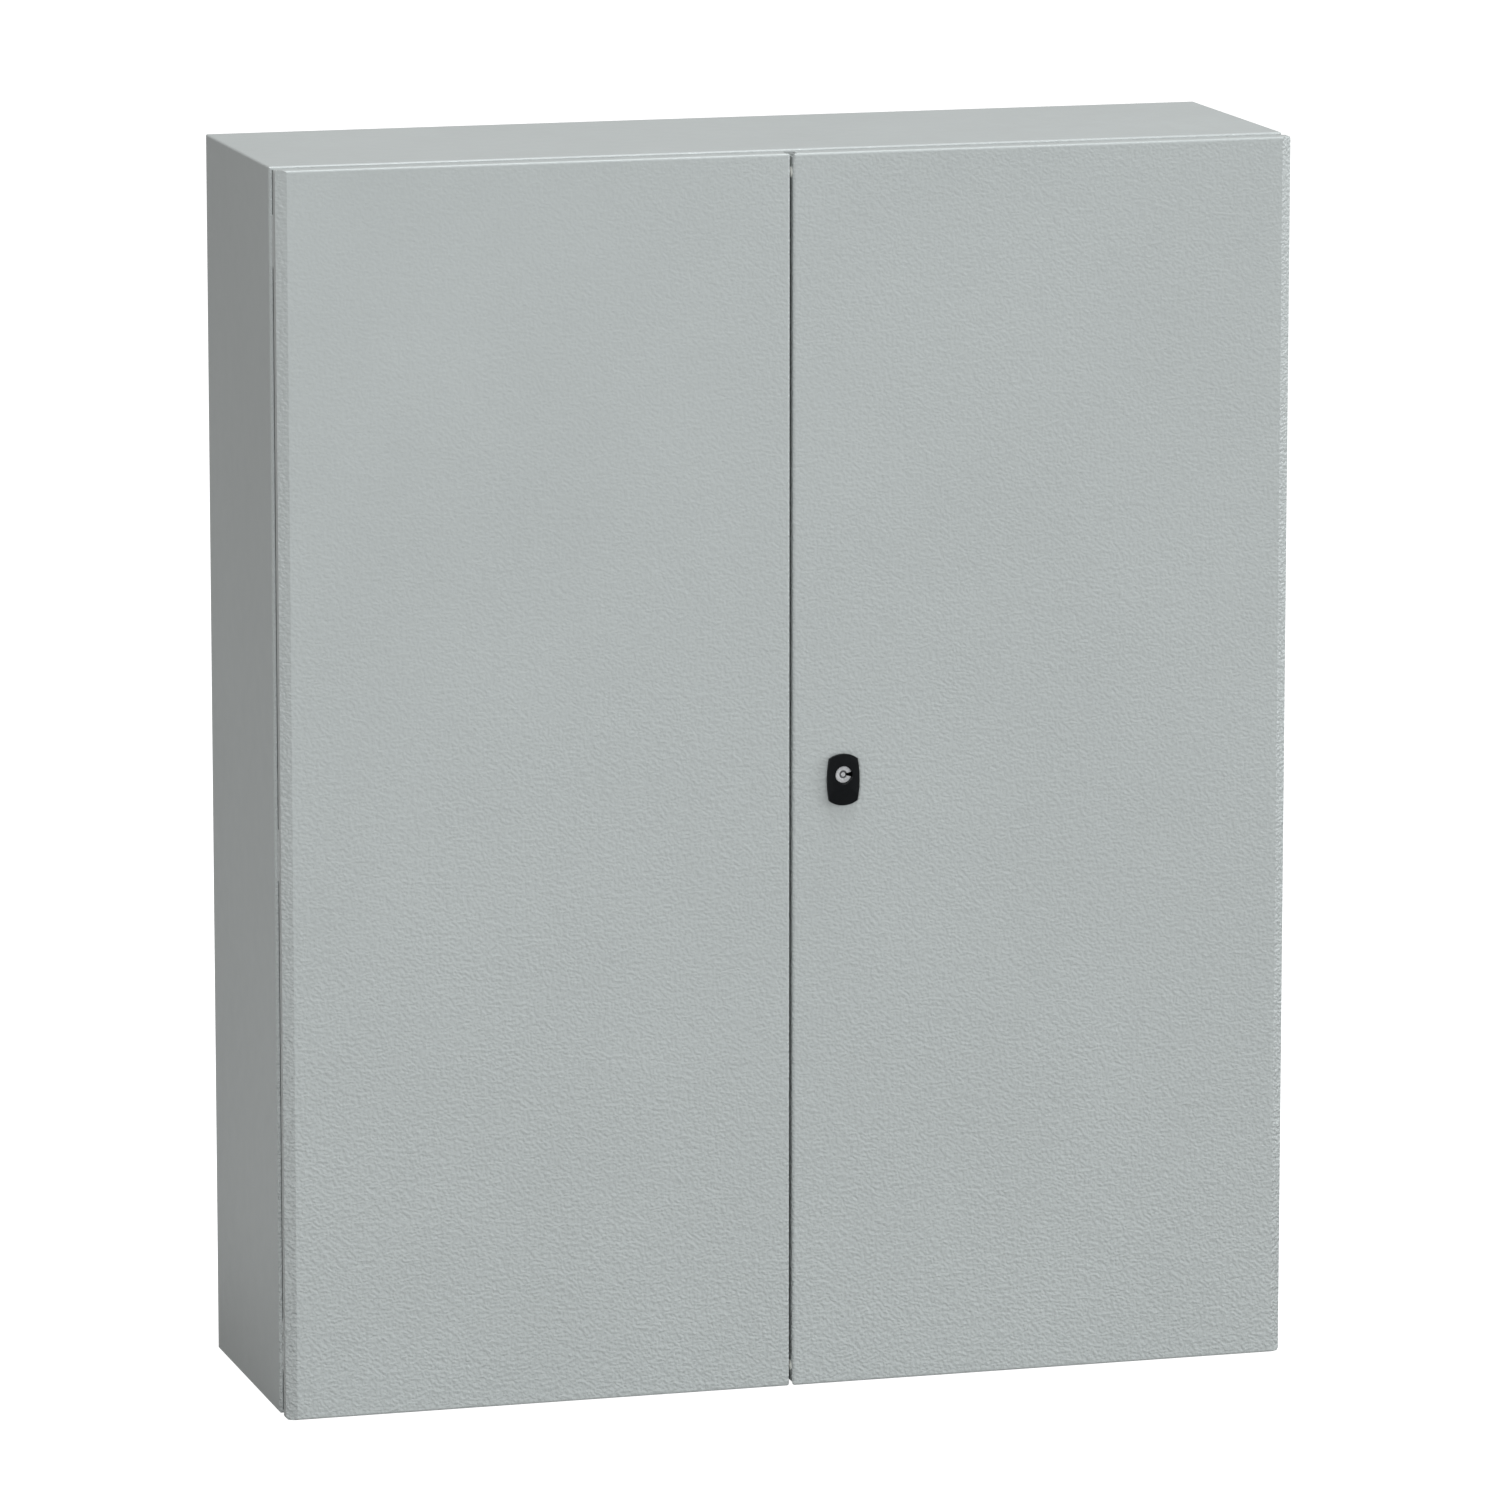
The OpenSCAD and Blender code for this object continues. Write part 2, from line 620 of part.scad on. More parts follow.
module lock_seal() color([0.14, 0.14, 0.14])
    difference() {
        cyf(lock_x, lock_z, f_skin - 1.5, f_skin, 16);
        cyf(lock_x, lock_z, f_skin - 3, f_skin + 1, 11.1);
    }

module lock_nut() color(zinc)
    difference() {
        hexf(lock_x, lock_z, f_skin - 7.5, f_skin - 1.5, 27);
        cyf(lock_x, lock_z, f_skin - 9, f_skin, 10.9);
    }

module lock_insert() color([0.83, 0.83, 0.84])
    difference() {
        union() {
            cyf(lock_x, lock_z, body_d - 1.4, cab_d + 1, 5);
            cyf(lock_x, lock_z, cab_d + 0.6, ins_f, insert_r);
        }
        // key recess around a centre pin, with a wedge-shaped keyway for the bit
        difference() {
            cyf(lock_x, lock_z, ins_f - 4, ins_f + 1, 3.9);
            cyf(lock_x, lock_z, ins_f - 5, ins_f - 0.2, 2.1);
        }
        translate([lock_x, Y(ins_f + 1), lock_z]) rotate([-90, 0, 0])
            linear_extrude(ins_f + 16 - cab_d)
                polygon([[3.6, -1.3], [insert_r + 1, -2.7], [insert_r + 1, 2.7], [3.6, 1.3]]);
        // thread for the cam screw
        cyf(lock_x, lock_z, body_d - 3, body_d + 10, 1.7);
    }

module cam_at() translate([lock_x, 0, lock_z]) children();

module lock_cam() color(zinc)
    difference() {
        cam_at() rotate([0, -45, 0]) union() {
            bx(-cam_r, cam_r, body_d - 1.5, body_d + 1.4, -6, 6);
            for (s = [-1, 1]) cyf(s * cam_r, 0, body_d - 1.5, body_d + 1.4, 6);
            cyf(0, 0, body_d - 1.5, body_d + 1.4, 9);
        }
        cyf(lock_x, lock_z, body_d - 3, body_d + 3, 5.05);
        for (s = [-1, 1])
            cyf(lock_x + s * pin_off, lock_z + s * pin_off, body_d - 3, body_d + 3, 2.5);
    }

module cam_pins() color(zinc)
    for (s = [-1, 1])
        cyf(lock_x + s * pin_off, lock_z + s * pin_off, rod_f0 - 2, body_d + 1.4, 2.5);

module cam_screw() color(zinc)
    difference() {
        union() {
            cyf(lock_x, lock_z, body_d - 2, body_d + 9, 1.7);
            cyf(lock_x, lock_z, body_d - 2.3, body_d - 1.5, 7);
            cyf(lock_x, lock_z, body_d - 5, body_d - 2.3, 3.9);
        }
        hexf(lock_x, lock_z, body_d - 6, body_d - 3.4, 3);
    }

module rod_guides() color([0.10, 0.10, 0.11]) {
    for (z = [cab_h - 60, lock_z + 130]) guide(up_x, z);
    for (z = [60, lock_z - 130]) guide(lo_x, z);
}

module rod_slot(x, z)
    bx(x - 2.1 - 2.5 - 0.5, x + 2.1 + 2.5 + 0.5, rod_f0 - 1, rod_f1 + 1, z - 3.25, z + 3.25);

module upper_rod() color(zinc)
    difference() {
        flat_bar(up_x, lock_z - 20, cab_h - rod_gap);
        rod_slot(up_x, lock_z - pin_off);
    }

module lower_rod() color(zinc)
    difference() {
        flat_bar(lo_x, rod_gap, lock_z + 20);
        rod_slot(lo_x, lock_z + pin_off);
    }

body_shell();
rear_panel();
centre_post();
post_end_seals();
post_screws();
gland_plates();
gland_gaskets();
gland_screws();
mounting_plate();
plate_studs();
plate_spacers();
plate_nuts();
body_earth_stud();
body_earth_nuts();
left_hinge_body_leaves();
right_hinge_body_leaves();
left_hinge_pins();
right_hinge_pins();
hinge_screws();
hinge_nuts();
left_door_panel();
left_door_gasket();
left_door_rails();
left_hinge_door_leaves();
left_door_earth_stud();
left_bolt_guides();
left_upper_bolt();
left_upper_knob();
left_lower_bolt();
left_lower_knob();
right_door_panel();
right_door_gasket();
right_door_rails();
right_hinge_door_leaves();
right_door_earth_stud();
gap_buffers();
lock_escutcheon();
lock_housing();
lock_seal();
lock_nut();
rod_guides();
lock_insert();
lock_cam();
cam_screw();
cam_pins();
upper_rod();
lower_rod();
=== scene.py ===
import json
import math

import bmesh
import bpy
from mathutils import Euler, Matrix, Vector

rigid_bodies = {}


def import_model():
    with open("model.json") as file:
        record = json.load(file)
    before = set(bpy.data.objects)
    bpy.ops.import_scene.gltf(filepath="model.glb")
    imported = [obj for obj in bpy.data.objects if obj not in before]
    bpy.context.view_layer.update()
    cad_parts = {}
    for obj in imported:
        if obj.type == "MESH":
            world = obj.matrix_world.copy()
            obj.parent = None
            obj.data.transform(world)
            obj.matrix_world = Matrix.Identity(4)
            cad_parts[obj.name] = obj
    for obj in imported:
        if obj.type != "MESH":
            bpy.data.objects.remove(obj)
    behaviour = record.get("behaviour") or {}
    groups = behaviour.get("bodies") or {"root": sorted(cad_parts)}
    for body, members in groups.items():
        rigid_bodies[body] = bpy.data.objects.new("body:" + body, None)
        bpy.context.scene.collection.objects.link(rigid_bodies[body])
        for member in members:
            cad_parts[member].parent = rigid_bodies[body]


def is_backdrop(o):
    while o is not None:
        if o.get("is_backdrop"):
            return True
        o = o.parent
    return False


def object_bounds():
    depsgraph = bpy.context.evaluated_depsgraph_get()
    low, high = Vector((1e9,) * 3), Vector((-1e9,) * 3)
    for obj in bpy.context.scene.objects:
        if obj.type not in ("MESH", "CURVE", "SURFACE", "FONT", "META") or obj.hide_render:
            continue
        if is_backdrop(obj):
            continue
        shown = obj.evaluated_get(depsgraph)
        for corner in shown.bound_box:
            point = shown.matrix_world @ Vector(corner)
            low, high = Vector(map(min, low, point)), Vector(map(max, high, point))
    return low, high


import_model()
LO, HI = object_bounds()
scene = bpy.context.scene


def save_size(when, data={}):
    lo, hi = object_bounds()
    data[when] = [list(map(float, lo)), list(map(float, hi))]


save_size("after_load")


# ------------------------------------------------------------------ node tools
class Mat:
    """A material with short ways to add and join nodes."""

    def __init__(self, name):
        self.m = bpy.data.materials.new(name)
        self.m.use_nodes = True
        self.t = self.m.node_tree
        self.t.nodes.clear()
        self.out = self.t.nodes.new("ShaderNodeOutputMaterial")
        self.b = self.t.nodes.new("ShaderNodeBsdfPrincipled")
        self.t.links.new(self.b.outputs[0], self.out.inputs[0])
        place = self.t.nodes.new("ShaderNodeTexCoord")
        self.co = place.outputs["Object"]
        self.local_normal = place.outputs["Normal"]

    def link(self, a, b):
        self.t.links.new(a, b)

    def put(self, node, key, value):
        s = node.inputs[key]
        if isinstance(value, bpy.types.NodeSocket):
            self.link(value, s)
        elif value is not None:
            s.default_value = value

    def scaled(self, sx, sy, sz, co=None, rot=(0, 0, 0)):
        n = self.t.nodes.new("ShaderNodeMapping")
        self.link(co or self.co, n.inputs["Vector"])
        n.inputs["Scale"].default_value = (sx, sy, sz)
        n.inputs["Rotation"].default_value = rot
        return n.outputs[0]

    def noise(self, scale, detail=2.0, rough=0.5, co=None, dist=0.0, out="Fac", w=None):
        n = self.t.nodes.new("ShaderNodeTexNoise")
        if w is not None:
            n.noise_dimensions = "4D"
            n.inputs["W"].default_value = w
        self.link(co or self.co, n.inputs["Vector"])
        n.inputs["Scale"].default_value = scale
        n.inputs["Detail"].default_value = detail
        n.inputs["Roughness"].default_value = rough
        n.inputs["Distortion"].default_value = dist
        return n.outputs[0 if out == "Fac" else 1]

    def voronoi(self, scale, feature="F1", co=None, out="Distance", rand=1.0):
        n = self.t.nodes.new("ShaderNodeTexVoronoi")
        n.feature = feature
        self.link(co or self.co, n.inputs["Vector"])
        n.inputs["Scale"].default_value = scale
        n.inputs["Randomness"].default_value = rand
        return n.outputs[out]

    def math(self, op, a, b=None, c=None, clamp=False):
        n = self.t.nodes.new("ShaderNodeMath")
        n.operation = op
        n.use_clamp = clamp
        self.put(n, 0, a)
        if b is not None:
            self.put(n, 1, b)
        if c is not None:
            self.put(n, 2, c)
        return n.outputs[0]

    def vmath(self, op, a, b=None, scale=None):
        n = self.t.nodes.new("ShaderNodeVectorMath")
        n.operation = op
        self.put(n, 0, a)
        if b is not None:
            self.put(n, 1, b)
        if scale is not None:
            self.put(n, "Scale", scale)
        return n.outputs[0]

    def remap(self, v, a, b, c, d, smooth=False):
        n = self.t.nodes.new("ShaderNodeMapRange")
        if smooth:
            n.interpolation_type = "SMOOTHSTEP"
        self.link(v, n.inputs[0])
        for i, x in enumerate((a, b, c, d)):
            n.inputs[i + 1].default_value = x
        return n.outputs[0]

    def ramp(self, v, *stops):
        n = self.t.nodes.new("ShaderNodeValToRGB")
        self.link(v, n.inputs[0])
        e = n.color_ramp.elements
        while len(e) > 1:
            e.remove(e[-1])
        e[0].position, e[0].color = stops[0][0], (*stops[0][1], 1)
        for p, c in stops[1:]:
            x = e.new(p)
            x.color = (*c, 1)
        return n.outputs[0]

    def mix(self, fac, a, b, kind="MIX"):
        n = self.t.nodes.new("ShaderNodeMix")
        n.data_type = "RGBA"
        n.blend_type = kind
        n.clamp_result = False
        self.put(n, 0, fac)
        for i, v in ((6, a), (7, b)):
            if isinstance(v, bpy.types.NodeSocket):
                self.link(v, n.inputs[i])
            else:
                n.inputs[i].default_value = (*v, 1)
        return n.outputs[2]

    def xyz(self, v=None):
        n = self.t.nodes.new("ShaderNodeSeparateXYZ")
        self.link(v or self.co, n.inputs[0])
        return n.outputs

    def deep(self, a, b):
        """0 in front of depth a, 1 behind depth b (Y of the closed, unturned part)."""
        return self.remap(self.xyz()[1], a, b, 0.0, 1.0)

    def soft_edges(self, radius):
        """Normal of a slightly rounded edge, for moulded and cast parts."""
        n = self.t.nodes.new("ShaderNodeBevel")
        n.samples = 6
        n.inputs["Radius"].default_value = radius
        return n.outputs[0]

    def bump(self, h, distance, strength=1.0, normal=None):
        n = self.t.nodes.new("ShaderNodeBump")
        self.link(h, n.inputs["Height"])
        n.inputs["Distance"].default_value = distance
        self.put(n, "Strength", strength)
        if normal is not None:
            self.link(normal, n.inputs["Normal"])
        return n.outputs[0]

    def set(self, **kw):
        names = {
            "color": "Base Color",
            "rough": "Roughness",
            "metal": "Metallic",
            "normal": "Normal",
            "spec": "Specular IOR Level",
            "coat": "Coat Weight",
            "coat_rough": "Coat Roughness",
            "aniso": "Anisotropic",
            "sheen": "Sheen Weight",
            "sheen_rough": "Sheen Roughness",
            "ior": "IOR",
        }
        for k, v in kw.items():
            s = self.b.inputs[names[k]]
            if isinstance(v, bpy.types.NodeSocket):
                self.link(v, s)
            elif k == "color":
                s.default_value = (*v, 1)
            else:
                s.default_value = v
        return self.m


def lin(r, g, b):
    f = lambda c: c / 12.92 if c <= 0.04045 else ((c + 0.055) / 1.055) ** 2.4
    return f(r / 255), f(g / 255), f(b / 255)


# ------------------------------------------------------------------ materials
PAINT = (0.5756, 0.604, 0.596)


def powder(name, base=PAINT, grain=1.0, quiet_sides=False):
    """Textured light grey powder coat: leathery grain, faint cloudiness, a little darker in the grain's low spots.
    """
    m = Mat(name)
    # grain: soft round pebbles, a little drawn out sideways, pulled about by a coarser noise
    drift = m.vmath("SUBTRACT", m.noise(70, 1.0, 0.5, out="Color"), (0.5, 0.5, 0.5))
    co = m.vmath("ADD", m.co, m.vmath("SCALE", drift, scale=0.0030))
    fine = m.noise(320, 0.6, 0.5, co=m.scaled(0.92, 0.92, 1.10, co=co))
    wrinkle = m.noise(190, 0.8, 0.5, co=m.scaled(0.72, 0.72, 1.25, co=co))
    peb = m.noise(620, 1.0, 0.5)
    h = m.math("ADD", m.math("MULTIPLY", fine, 1.0), m.math("MULTIPLY", wrinkle, 0.22))
    h = m.math("ADD", h, m.math("MULTIPLY", peb, 0.15))
    # the coat is coarser in some areas than in others, and towards the base
    z = m.xyz()[2]
    x = m.xyz()[0]
    down = m.math("POWER", m.remap(z, 1.15, 0.05, 0.0, 1.0), 1.7)
    start = m.remap(x, -0.45, 0.25, 0.22, 0.48, smooth=True)
    gain = m.remap(x, -0.45, 0.25, 1.48, 1.00, smooth=True)
    area = m.remap(m.noise(3.1, 2.0, 0.6), 0.32, 0.68, 0.88, 1.12)
    amt = m.math("MULTIPLY", m.math("MULTIPLY_ADD", down, gain, start), area)
    # bevels and bends carry a heavier coat than the flat faces
    slant = m.remap(m.math("ABSOLUTE", m.xyz(m.local_normal)[0]), 0.25, 0.50, 1.0, 2.2, smooth=True)
    amt = m.math("MULTIPLY", amt, slant)
    if quiet_sides:
        # the body's side walls and top are smoother than its folded front edges
        face = m.math("ABSOLUTE", m.xyz(m.local_normal)[1])
        amt = m.math("MULTIPLY", amt, m.remap(face, 0.02, 0.30, 0.03, 1.0, smooth=True))
    h = m.math("MULTIPLY", m.math("SUBTRACT", h, 0.69), amt)
    nrm = m.bump(h, 0.00105 * grain)
    # colour: very slight cloudiness, a little darker where the grain is deep
    cloud = m.noise(5.5, 3.0, 0.55)
    tint = m.ramp(
        cloud,
        (0.25, tuple(c * 0.978 for c in base)),
        (0.75, tuple(c * 1.020 for c in base)),
    )
    pit = m.remap(h, -0.12, 0.08, 0.965, 1.015)
    col = m.mix(1.0, tint, m.ramp(pit, (0.0, (0, 0, 0)), (1.0, (1, 1, 1))), "MULTIPLY")
    rough = m.remap(m.noise(46, 3.0, 0.6), 0.3, 0.7, 0.32, 0.42)
    return m.set(color=col, rough=rough, normal=nrm, spec=0.5)


def galvanised(name):
    """Hot-dip galvanised sheet: frosty crystals of a few millimetres to two centimetres."""
    m = Mat(name)
    warp = m.vmath("SCALE", m.vmath("SUBTRACT", m.noise(26, 2, 0.5, out="Color"), (0.5, 0.5, 0.5)), scale=0.016)
    co = m.vmath("ADD", m.co, warp)
    cell = m.xyz(m.voronoi(72, co=co, out="Color"))
    cell2 = m.xyz(m.voronoi(165, co=co, out="Color"))
    v = m.math("ADD", m.math("MULTIPLY", cell[0], 0.65), m.math("MULTIPLY", cell2[1], 0.35))
    streak = m.noise(9, 3, 0.6, co=m.scaled(7, 7, 0.6))
    col = m.ramp(v, (0.1, (0.47, 0.483, 0.488)), (0.55, (0.54, 0.55, 0.555)), (0.95, (0.61, 0.62, 0.625)))
    col = m.mix(0.16, col, m.ramp(streak, (0.3, (0.40, 0.41, 0.415)), (0.7, (0.66, 0.67, 0.675))))
    rough = m.remap(v, 0.1, 0.95, 0.38, 0.50)
    h = m.math("ADD", m.math("MULTIPLY", v, 0.25), m.noise(900, 2, 0.6))
    return m.set(color=col, metal=0.92, rough=rough, normal=m.bump(h, 0.00007))


def plated(name, base=(0.60, 0.61, 0.62), yellow=0.0, rough=(0.24, 0.42), lines=(1, 1, 1)):
    """Bright zinc plating: fine drawing lines, cloudy passivation and a hint of rainbow."""
    m = Mat(name)
    brush = m.noise(420, 3, 0.65, co=m.scaled(*lines))
    cloud = m.noise(34, 3, 0.6)
    iris = m.noise(85, 2, 0.5)
    col = m.ramp(
        cloud,
        (0.3, tuple(c * 0.86 for c in base)),
        (0.7, tuple(min(1, c * 1.10) for c in base)),
    )
    col = m.mix(0.10 + yellow, col, m.ramp(iris, (0.35, (0.55, 0.60, 0.72)), (0.5, (0.66, 0.66, 0.62)), (0.65, (0.74, 0.66, 0.46))))
    r = m.remap(m.math("ADD", brush, m.math("MULTIPLY", cloud, 0.5)), 0.55, 0.95, *rough)
    return m.set(color=col, metal=1.0, rough=r, normal=m.bump(brush, 0.00005))


def die_cast(name, axis_x, axis_z):
    """Sand-grey die-cast zinc, with painted shade in the bore and the keyway."""
    m = Mat(name)
    s = m.xyz(m.vmath("SUBTRACT", m.co, (axis_x, 0.0, axis_z)))
    r = m.math("SQRT", m.math("ADD", m.math("MULTIPLY", s[0], s[0]), m.math("MULTIPLY", s[2], s[2])))
    a = m.noise(160, 3, 0.6)
    b = m.noise(900, 2, 0.6)
    col = m.ramp(a, (0.3, (0.42, 0.425, 0.43)), (0.7, (0.56, 0.565, 0.57)))
    # painted shade: the bore and keyway within about 10 mm of the lock axis are coloured near-black
    painted_bore_shade = m.ramp(a, (0.3, (0.018, 0.018, 0.018)), (0.7, (0.035, 0.035, 0.035)))
    col = m.mix(m.remap(r, 0.0096, 0.0104, 0.0, 1.0), painted_bore_shade, col)
    h = m.math("ADD", a, m.math("MULTIPLY", b, 0.5))
    return m.set(color=col, metal=1.0, rough=m.remap(b, 0.3, 0.7, 0.38, 0.55), normal=m.bump(h, 0.00012))


def turned(name, axis_x, axis_z):
    """Satin nickel-plated die-cast insert: faint turning rings, small dents and speckles."""
    m = Mat(name)
    s = m.xyz(m.vmath("SUBTRACT", m.co, (axis_x, 0.0, axis_z)))
    r = m.math("SQRT", m.math("ADD", m.math("MULTIPLY", s[0], s[0]), m.math("MULTIPLY", s[2], s[2])))
    comb = m.t.nodes.new("ShaderNodeCombineXYZ")
    m.link(r, comb.inputs[0])
    rings = m.noise(900, 2, 0.6, co=comb.outputs[0])
    speck = m.noise(620, 2, 0.6)
    cloud = m.noise(260, 2, 0.5)
    col = m.ramp(cloud, (0.3, (0.80, 0.80, 0.82)), (0.7, (0.95, 0.95, 0.97)))
    col = m.mix(0.35, col, m.ramp(speck, (0.38, (0.55, 0.55, 0.57)), (0.60, (1.0, 1.0, 1.0))))
    # painted shade: everything deeper than the insert's face, the keyway and the shaft, is coloured near-black
    col = m.mix(m.deep(-0.1464, -0.1448), col, m.ramp(speck, (0.3, (0.030, 0.030, 0.031)), (0.7, (0.065, 0.065, 0.066))))
    h = m.math("ADD", m.math("MULTIPLY", rings, 0.35), speck)
    rough = m.remap(speck, 0.3, 0.7, 0.46, 0.58)
    return m.set(color=col, metal=0.6, rough=rough, normal=m.bump(h, 0.00022, normal=m.soft_edges(0.0005)))


def black_plastic(name, base=(0.0036, 0.0044, 0.0054), spark=1.0):
    """Moulded black nylon: spark-eroded grain and a dull sheen."""
    m = Mat(name)
    a = m.noise(1500, 2, 0.55)
    b = m.noise(300, 2, 0.5)
    col = m.ramp(b, (0.3, tuple(c * 0.85 for c in base)), (0.7, tuple(c * 1.25 for c in base)))
    h = m.math("ADD", a, m.math("MULTIPLY", b, 0.8))
    rough = m.remap(a, 0.3, 0.7, 0.34, 0.46)
    return m.set(color=col, rough=rough, spec=0.17, normal=m.bump(h, 0.00009 * spark, normal=m.soft_edges(0.0011)))


def nylon(name):
    m = Mat(name)
    a = m.noise(700, 2, 0.5)
    b = m.noise(140, 2, 0.5)
    col = m.ramp(b, (0.3, (0.84, 0.83, 0.78)), (0.7, (0.92, 0.91, 0.86)))
    return m.set(color=col, rough=m.remap(a, 0.3, 0.7, 0.30, 0.42), normal=m.bump(a, 0.00006))


def foam(name):
    """Foamed-in-place polyurethane seal: open pores under a thin skin."""
    m = Mat(name)
    pores = m.voronoi(620, co=m.vmath("ADD", m.co, m.vmath("SCALE", m.noise(200, 1, 0.5, out="Color"), scale=0.002)))
    a = m.noise(90, 3, 0.6)
    col = m.ramp(a, (0.3, (0.020, 0.020, 0.021)), (0.7, (0.042, 0.042, 0.044)))
    h = m.math("ADD", m.math("MULTIPLY", pores, 1.4), a)
    return m.set(color=col, rough=m.remap(pores, 0.0, 0.6, 0.92, 0.66), spec=0.35, normal=m.bump(h, 0.00045))


def brass(name):
    m = Mat(name)
    a = m.noise(240, 3, 0.6)
    b = m.noise(1100, 2, 0.6)
    col = m.ramp(a, (0.3, (0.60, 0.41, 0.15)), (0.7, (0.80, 0.60, 0.28)))
    return m.set(color=col, metal=1.0, rough=m.remap(b, 0.3, 0.7, 0.26, 0.42), normal=m.bump(b, 0.00004))


M = {
    "paint": powder("powder_coat"),
    "paint_body": powder("powder_coat_body", quiet_sides=True),
    "galvanised": galvanised("galvanised_sheet"),
    "zinc": plated("zinc_plating"),
    "zinc_bar": plated("zinc_bar", lines=(9, 9, 0.25), rough=(0.28, 0.46)),
    "die_cast": die_cast("die_cast_zinc", 0.051, 0.600),
    "insert": turned("satin_insert", 0.051, 0.600),
    "plastic": black_plastic("black_plastic"),
    "nylon": nylon("white_nylon"),
    "foam": foam("foamed_seal"),
    "brass": brass("earth_brass_metal"),
}
NODE_MATERIAL = {
    "paint": [
        "left_door_panel", "right_door_panel",
        "left_hinge_body_leaves", "right_hinge_body_leaves",
        "left_hinge_door_leaves", "right_hinge_door_leaves",
        "centre_post", "gland_plates",
    ],
    "paint_body": ["body_shell", "rear_panel"],
    "galvanised": ["mounting_plate", "left_door_rails", "right_door_rails"],
    "zinc": [
        "post_screws", "gland_screws", "plate_studs", "plate_spacers", "plate_nuts",
        "left_hinge_pins", "right_hinge_pins", "hinge_screws", "hinge_nuts",
        "left_door_earth_stud", "right_door_earth_stud", "lock_nut", "lock_cam",
        "cam_screw", "cam_pins",
    ],
    "zinc_bar": ["left_upper_bolt", "left_lower_bolt", "upper_rod", "lower_rod"],
    "die_cast": ["lock_housing"],
    "insert": ["lock_insert"],
    "plastic": ["lock_escutcheon", "rod_guides", "left_bolt_guides", "left_upper_knob", "left_lower_knob"],
    "nylon": ["gap_buffers"],
    # post_end_seals: dark foam blocks at the ends of the centre gap, standing in for the shade there
    "foam": ["post_end_seals", "left_door_gasket", "right_door_gasket", "gland_gaskets", "lock_seal"],
    "brass": ["body_earth_stud", "body_earth_nuts"],
}
NODES = {n: bpy.data.objects[n] for names in NODE_MATERIAL.values() for n in names}
for key, names in NODE_MATERIAL.items():
    for n in names:
        o = NODES[n]
        for i in range(len(o.material_slots)):
            o.material_slots[i].material = M[key]


# ------------------------------------------------------------------ floor, light, camera
def make_floor():
    bm = bmesh.new()
    bmesh.ops.create_grid(bm, x_segments=8, y_segments=8, size=60)
    me = bpy.data.meshes.new("floor")
    bm.to_mesh(me)
    bm.free()
    o = bpy.data.objects.new("floor", me)
    o.location = (0, 0, LO[2] - 0.0005)
    scene.collection.objects.link(o)
    m = bpy.data.materials.new("floor_white")
    m.use_nodes = True
    t = m.node_tree
    t.nodes.clear()
    out = t.nodes.new("ShaderNodeOutputMaterial")
    add = t.nodes.new("ShaderNodeAddShader")
    dif = t.nodes.new("ShaderNodeBsdfDiffuse")
    em = t.nodes.new("ShaderNodeEmission")
    no = t.nodes.new("ShaderNodeTexNoise")
    no.inputs["Scale"].default_value = 3
    ra = t.nodes.new("ShaderNodeValToRGB")
    ra.color_ramp.elements[0].color = (0.42, 0.42, 0.42, 1)
    ra.color_ramp.elements[1].color = (0.44, 0.44, 0.44, 1)
    t.links.new(no.outputs[0], ra.inputs[0])
    t.links.new(ra.outputs[0], dif.inputs[0])
    em.inputs[1].default_value = FLOOR_GLOW
    seen = t.nodes.new("ShaderNodeEmission")
    seen.inputs[1].default_value = 1.0
    mix = t.nodes.new("ShaderNodeMixShader")
    path = t.nodes.new("ShaderNodeLightPath")
    t.links.new(path.outputs["Is Camera Ray"], mix.inputs[0])
    t.links.new(em.outputs[0], mix.inputs[1])
    t.links.new(seen.outputs[0], mix.inputs[2])
    t.links.new(dif.outputs[0], add.inputs[0])
    t.links.new(mix.outputs[0], add.inputs[1])
    t.links.new(add.outputs[0], out.inputs[0])
    me.materials.append(m)
    o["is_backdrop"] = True
    return o


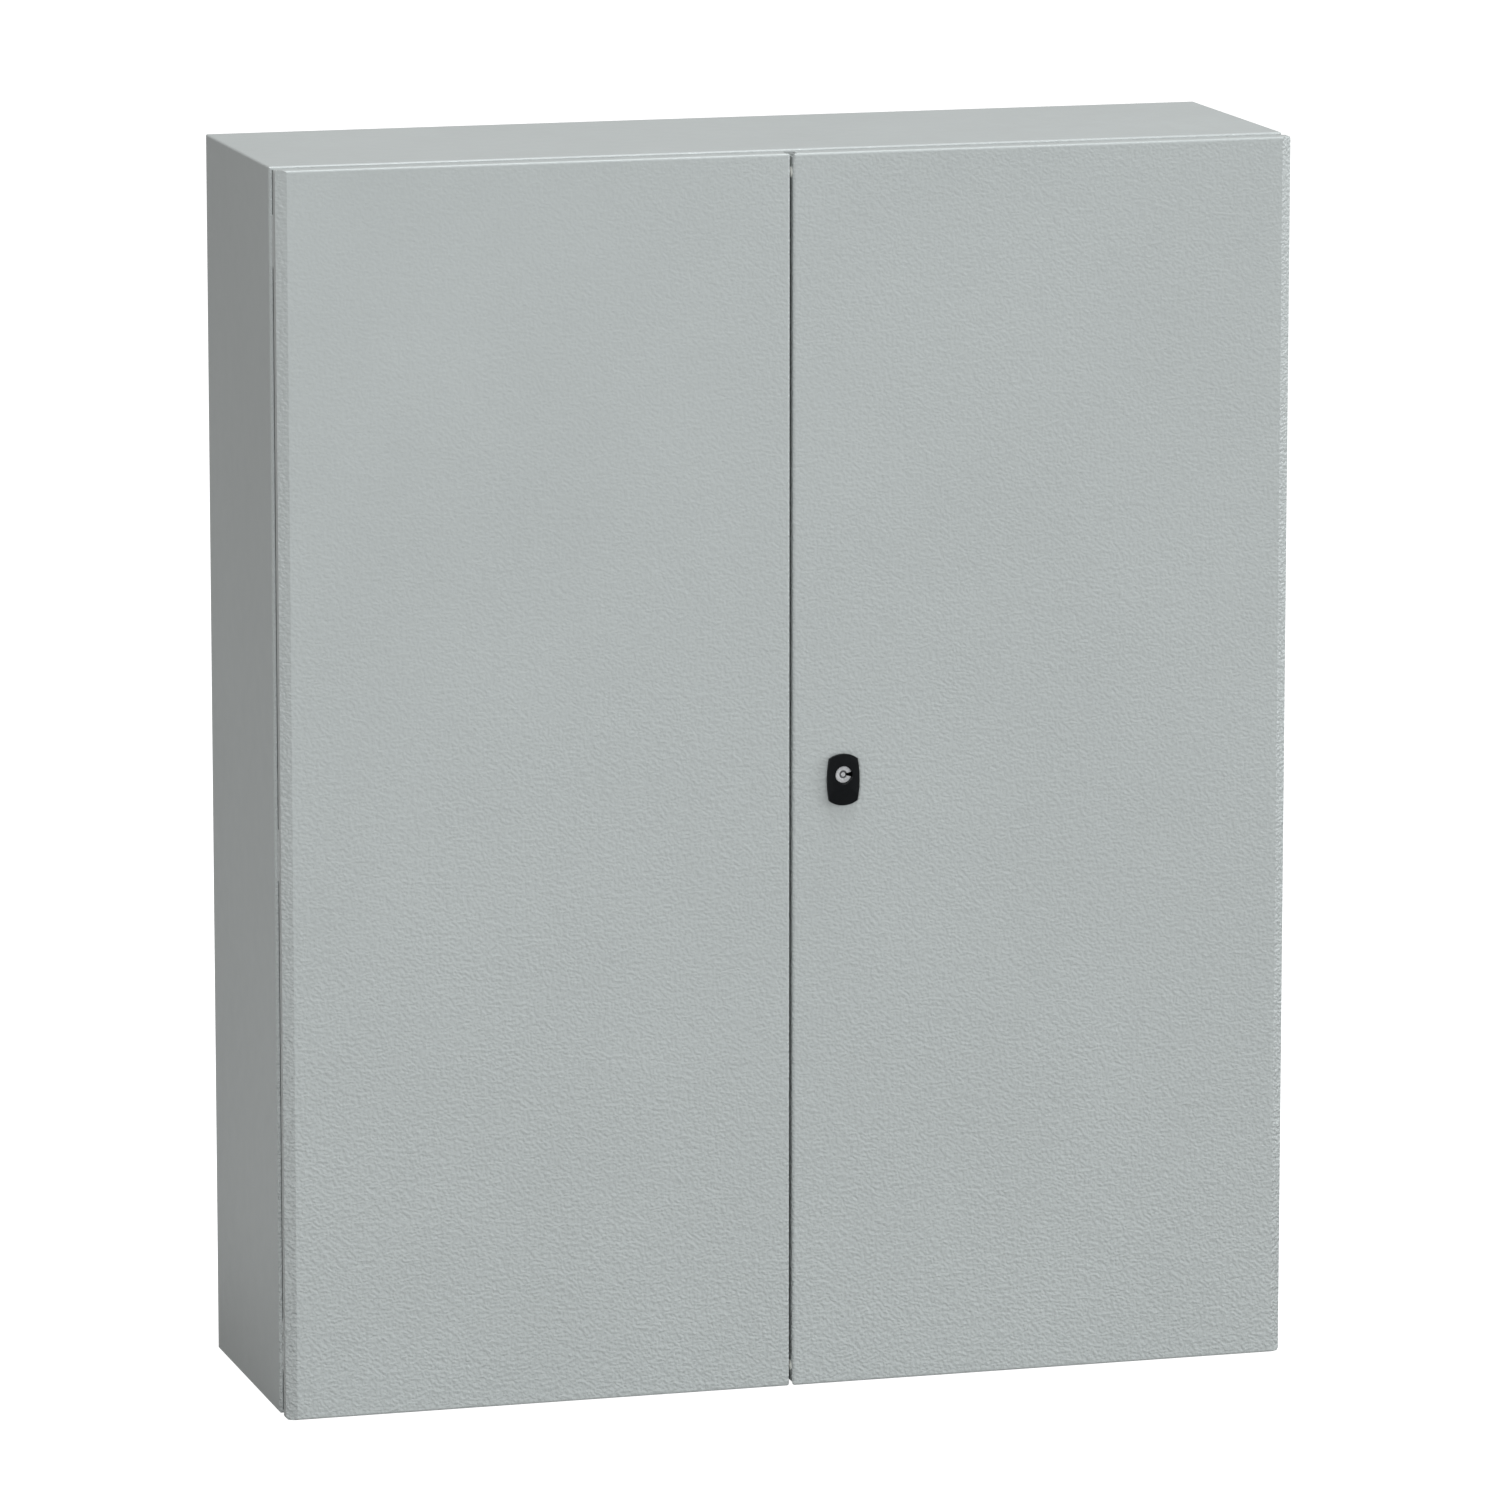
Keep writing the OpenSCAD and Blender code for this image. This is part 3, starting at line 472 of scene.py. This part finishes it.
FLOOR_GLOW = 0.02
AMBIENT = 0.40
COOL = (0.950, 1.0, 1.020)
WARM = (1.03, 1.0, 0.985)
LIGHTS = {
    # name: (location, target, width, height, watts)
    "key_right": ((4.6, -8.0, 3.2), (0.0, -0.1, 0.7), 3.0, 3.0, 38.7),
    "fill_left": ((-4.8, -8.2, 2.8), (0.0, -0.1, 0.6), 3.0, 3.0, 249.0),
    "side_right": ((8.2, -2.6, 2.4), (0.4, -0.1, 0.6), 3.0, 3.0, 251.0),
    "top": ((0.9, -1.0, 7.0), (0.0, 0.0, 1.0), 2.2, 1.8, 214.0),
}


def make_lights():
    for name, (loc, target, w, h, watts) in LIGHTS.items():
        d = bpy.data.lights.new(name, "AREA")
        d.shape = "RECTANGLE"
        d.size, d.size_y = w, h
        d.energy = watts
        d.color = COOL
        o = bpy.data.objects.new(name, d)
        o.location = loc
        o.rotation_euler = (Vector(target) - Vector(loc)).to_track_quat("-Z", "Y").to_euler()
        scene.collection.objects.link(o)
    world = bpy.data.worlds.new("studio")
    world.use_nodes = True
    t = world.node_tree
    t.nodes.clear()
    out = t.nodes.new("ShaderNodeOutputWorld")
    seen = t.nodes.new("ShaderNodeBackground")
    lit = t.nodes.new("ShaderNodeBackground")
    mix = t.nodes.new("ShaderNodeMixShader")
    path = t.nodes.new("ShaderNodeLightPath")
    seen.inputs[1].default_value = 1.05
    seen.inputs[0].default_value = (1.0, 1.0, 1.0, 1.0)
    lit.inputs[0].default_value = (*(0.8 * c for c in WARM), 1.0)
    lit.inputs[1].default_value = AMBIENT
    t.links.new(path.outputs["Is Camera Ray"], mix.inputs[0])
    t.links.new(lit.outputs[0], mix.inputs[1])
    t.links.new(seen.outputs[0], mix.inputs[2])
    t.links.new(mix.outputs[0], out.inputs[0])
    scene.world = world


def make_camera():
    d = bpy.data.cameras.new("camera")
    d.sensor_width = 36
    d.lens = 228.569
    d.clip_start = 0.1
    d.clip_end = 200
    o = bpy.data.objects.new("camera", d)
    o.location = (-2.49010, -8.74856, 2.28458)
    o.rotation_euler = (math.radians(79.5066), 0.0, math.radians(-15.8916))
    scene.collection.objects.link(o)
    scene.camera = o


make_floor()
make_lights()
make_camera()
scene.view_settings.view_transform = "Standard"
scene.view_settings.look = "None"

save_size("before_finish")
